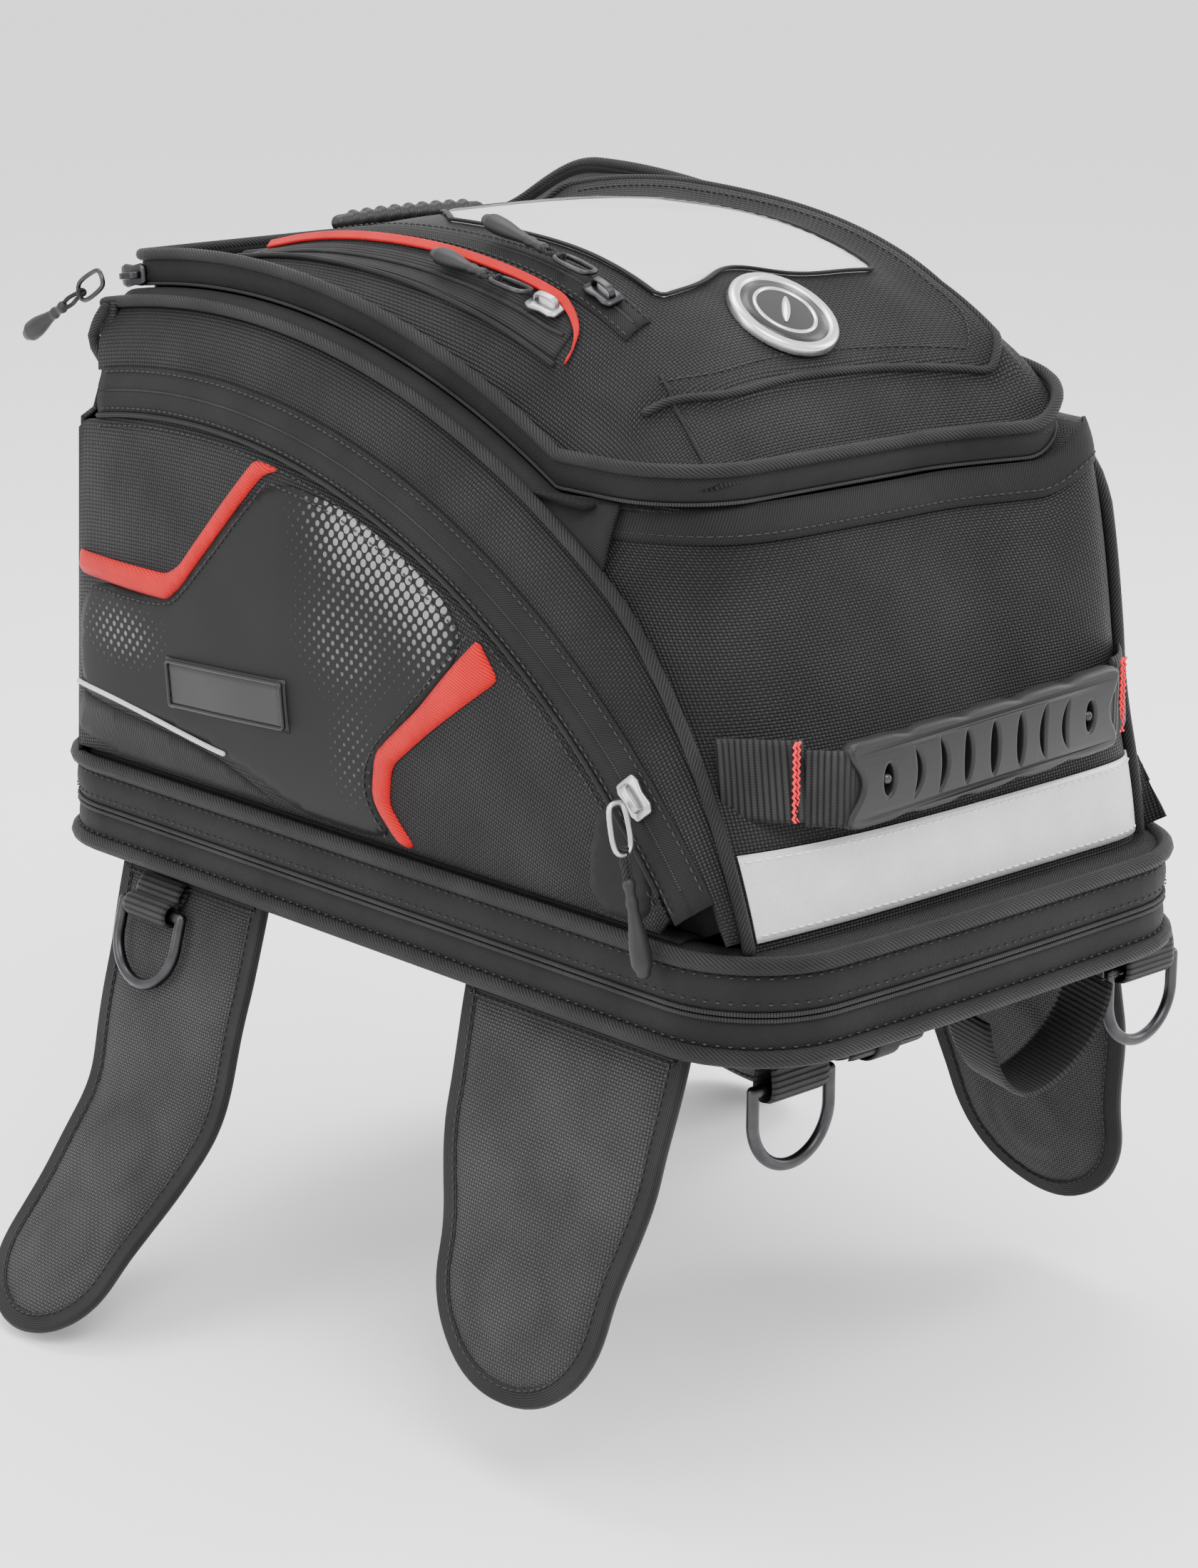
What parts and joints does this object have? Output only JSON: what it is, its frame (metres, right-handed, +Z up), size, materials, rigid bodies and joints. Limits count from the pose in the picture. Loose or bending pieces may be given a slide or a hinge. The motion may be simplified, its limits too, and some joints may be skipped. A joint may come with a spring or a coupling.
{
  "type": "motorcycle tank bag",
  "caption": "Soft expanding motorcycle tank bag with hinged lid, side pockets, map window, grab handles, magnet flaps and strap rings.",
  "frame": {"origin": "centre of the base underside, where the bag rests on the tank", "axes": "+Z up, -Y the end with the grab handle and reflective strip, +X the right side seen from that end"},
  "size_m": [0.3638, 0.371, 0.3815],
  "materials": {
    "pad_rubber": "matt embossed",
    "ribbed_fabric": "fine ribbed",
    "board_plastic": "matt",
    "zip_tape": "tight woven tape with coil zip",
    "piping": "woven piping",
    "webbing": "heavy flat webbing",
    "gloss_plastic": "gloss",
    "ballistic_nylon": "coarse basket weave",
    "reflective_tape": "silver reflective",
    "printed_rubber": "matt with printed halftone dots",
    "red_grosgrain": "ribbed ribbon",
    "clear_film": "clear flexible film",
    "window_grey": "pale grey cloth",
    "badge_enamel": "raised silver ring on black",
    "grip_rubber": "satin moulded",
    "dark_metal": "blackened",
    "pull_rubber": "satin moulded, on braided cord",
    "flap_mesh": "coarse mesh cloth with bound edge",
    "magnet_metal": "plated"
  },
  "bodies": {
    "base": {"antislip_pad": "pad_rubber", "base_panel": "ribbed_fabric", "stiffener_board": "board_plastic", "lower_band": "zip_tape", "lower_welt": "piping", "front_ring_tabs": "webbing", "under_strap": "webbing", "slot_buckles": "gloss_plastic"},
    "upper": {"expander_gusset": "ribbed_fabric", "upper_band": "zip_tape", "upper_welt": "piping", "body_shell": "ballistic_nylon", "body_welts": "piping", "reflective_strip": "reflective_tape", "handle_anchors": "webbing", "lid_zip": "zip_tape", "left_pocket_gusset": "ballistic_nylon", "right_pocket_gusset": "ballistic_nylon", "left_pocket_zip": "zip_tape", "right_pocket_zip": "zip_tape"},
    "lid": {"lid_shell": "ballistic_nylon", "lid_welts": "piping", "window_film": "clear_film", "window_backing": "window_grey", "map_zip": "zip_tape", "media_pocket_lip": "red_grosgrain", "badge": "badge_enamel"},
    "rear_handle": {"rear_handle": "grip_rubber"},
    "front_handle": {"front_handle_webbing": "webbing", "front_handle_grip": "grip_rubber"},
    "left_pocket": {"left_pocket_panel": "ballistic_nylon", "left_rubber_panel": "printed_rubber", "left_red_trim": "red_grosgrain", "left_name_patch": "printed_rubber"},
    "right_pocket": {"right_pocket_panel": "ballistic_nylon", "right_rubber_panel": "printed_rubber", "right_red_trim": "red_grosgrain", "right_name_patch": "printed_rubber"},
    "lid_slider": {"lid_slider": "dark_metal"},
    "lid_pull": {"lid_pull": "pull_rubber"},
    "left_pocket_slider": {"left_pocket_slider": "dark_metal"},
    "left_pocket_pull": {"left_pocket_pull": "pull_rubber"},
    "right_pocket_slider": {"right_pocket_slider": "dark_metal"},
    "right_pocket_pull": {"right_pocket_pull": "pull_rubber"},
    "map_slider": {"map_slider": "dark_metal"},
    "map_pull": {"map_pull": "pull_rubber"},
    "media_slider": {"media_slider": "dark_metal"},
    "media_pull": {"media_pull": "pull_rubber"},
    "front_left_flap": {"front_left_flap": "flap_mesh", "front_left_magnets": "magnet_metal"},
    "front_left_ring": {"front_left_ring": "dark_metal"},
    "front_right_flap": {"front_right_flap": "flap_mesh", "front_right_magnets": "magnet_metal"},
    "front_right_ring": {"front_right_ring": "dark_metal"},
    "rear_left_flap": {"rear_left_flap": "flap_mesh", "rear_left_magnets": "magnet_metal"},
    "rear_left_ring": {"rear_left_ring": "dark_metal"},
    "rear_right_flap": {"rear_right_flap": "flap_mesh", "rear_right_magnets": "magnet_metal"},
    "rear_right_ring": {"rear_right_ring": "dark_metal"}
  },
  "joints": [
    {"name": "expander_lift", "type": "slide", "parent": "base", "child": "upper", "axis": [0, 0, 1], "range_m": [0, 0.05], "deforming": ["expander_gusset"]},
    {"name": "lid_hinge", "type": "hinge", "parent": "upper", "child": "lid", "pos_m": [0, 0.147, 0.198], "axis": [-1, 0, 0], "range_deg": [0, 100]},
    {"name": "rear_handle_tilt", "type": "hinge", "parent": "lid", "child": "rear_handle", "pos_m": [0, 0.096, 0.21617], "axis": [1, 0, 0], "range_deg": [-20, 20]},
    {"name": "front_handle_swing", "type": "hinge", "parent": "upper", "child": "front_handle", "pos_m": [0, -0.1665, 0.082], "axis": [1, 0, 0], "range_deg": [-25, 25]},
    {"name": "left_pocket_fold", "type": "hinge", "parent": "upper", "child": "left_pocket", "pos_m": [-0.102, 0, 0.0368], "axis": [0, -1, 0], "range_deg": [0, 50]},
    {"name": "right_pocket_fold", "type": "hinge", "parent": "upper", "child": "right_pocket", "pos_m": [0.102, 0, 0.0368], "axis": [0, 1, 0], "range_deg": [0, 50]},
    {"name": "lid_slider_run", "type": "hinge", "parent": "upper", "child": "lid_slider", "pos_m": [0, 0.091, -0.136], "axis": [1, 0, 0], "range_deg": [0, 33]},
    {"name": "lid_pull_swing", "type": "hinge", "parent": "lid_slider", "child": "lid_pull", "pos_m": [-0.0992, 0.141, 0.203], "axis": [1, 0, 0], "range_deg": [0, 60]},
    {"name": "left_pocket_slider_run", "type": "hinge", "parent": "upper", "child": "left_pocket_slider", "pos_m": [0, 0.091, -0.136], "axis": [-1, 0, 0], "range_deg": [0, 52]},
    {"name": "left_pocket_pull_swing", "type": "hinge", "parent": "left_pocket_slider", "child": "left_pocket_pull", "pos_m": [-0.1136, -0.132, 0.076], "axis": [1, 0, 0], "range_deg": [-40, 60]},
    {"name": "right_pocket_slider_run", "type": "hinge", "parent": "upper", "child": "right_pocket_slider", "pos_m": [0, 0.091, -0.136], "axis": [-1, 0, 0], "range_deg": [0, 52]},
    {"name": "right_pocket_pull_swing", "type": "hinge", "parent": "right_pocket_slider", "child": "right_pocket_pull", "pos_m": [0.1136, -0.132, 0.076], "axis": [1, 0, 0], "range_deg": [-40, 60]},
    {"name": "map_slider_run", "type": "hinge", "parent": "lid", "child": "map_slider", "pos_m": [0, 0.02749, -0.06756], "axis": [-1, 0, 0], "range_deg": [0, 25.2]},
    {"name": "map_pull_lift", "type": "hinge", "parent": "map_slider", "child": "map_pull", "pos_m": [-0.052, -0.054, 0.21915], "axis": [1, 0, 0], "range_deg": [0, 75]},
    {"name": "media_slider_run", "type": "hinge", "parent": "lid", "child": "media_slider", "pos_m": [0, 0.03839, -0.10022], "axis": [-1, 0, 0], "range_deg": [0, 20.8]},
    {"name": "media_pull_lift", "type": "hinge", "parent": "media_slider", "child": "media_pull", "pos_m": [-0.066, -0.04, 0.21317], "axis": [1, 0, 0], "range_deg": [0, 75]},
    {"name": "front_left_flap_swing", "type": "hinge", "parent": "base", "child": "front_left_flap", "pos_m": [-0.099, -0.098, -0.0035], "axis": [0, 1, 0], "range_deg": [-55, 70]},
    {"name": "front_right_flap_swing", "type": "hinge", "parent": "base", "child": "front_right_flap", "pos_m": [0.099, -0.098, -0.0035], "axis": [0, -1, 0], "range_deg": [-55, 70]},
    {"name": "rear_left_flap_swing", "type": "hinge", "parent": "base", "child": "rear_left_flap", "pos_m": [-0.099, 0.098, -0.0035], "axis": [0, 1, 0], "range_deg": [-55, 45]},
    {"name": "rear_right_flap_swing", "type": "hinge", "parent": "base", "child": "rear_right_flap", "pos_m": [0.099, 0.098, -0.0035], "axis": [0, -1, 0], "range_deg": [-55, 45]},
    {"name": "front_left_ring_swing", "type": "hinge", "parent": "base", "child": "front_left_ring", "pos_m": [-0.069, -0.1622, -0.013], "axis": [1, 0, 0], "range_deg": [-80, 15]},
    {"name": "front_right_ring_swing", "type": "hinge", "parent": "base", "child": "front_right_ring", "pos_m": [0.097, -0.1622, -0.013], "axis": [1, 0, 0], "range_deg": [-80, 15]},
    {"name": "rear_left_ring_swing", "type": "hinge", "parent": "rear_left_flap", "child": "rear_left_ring", "pos_m": [-0.10887, 0.11, -0.01328], "axis": [0, 1, 0], "range_deg": [0, 100]},
    {"name": "rear_right_ring_swing", "type": "hinge", "parent": "rear_right_flap", "child": "rear_right_ring", "pos_m": [0.10887, 0.11, -0.01328], "axis": [0, -1, 0], "range_deg": [0, 100]}
  ]
}
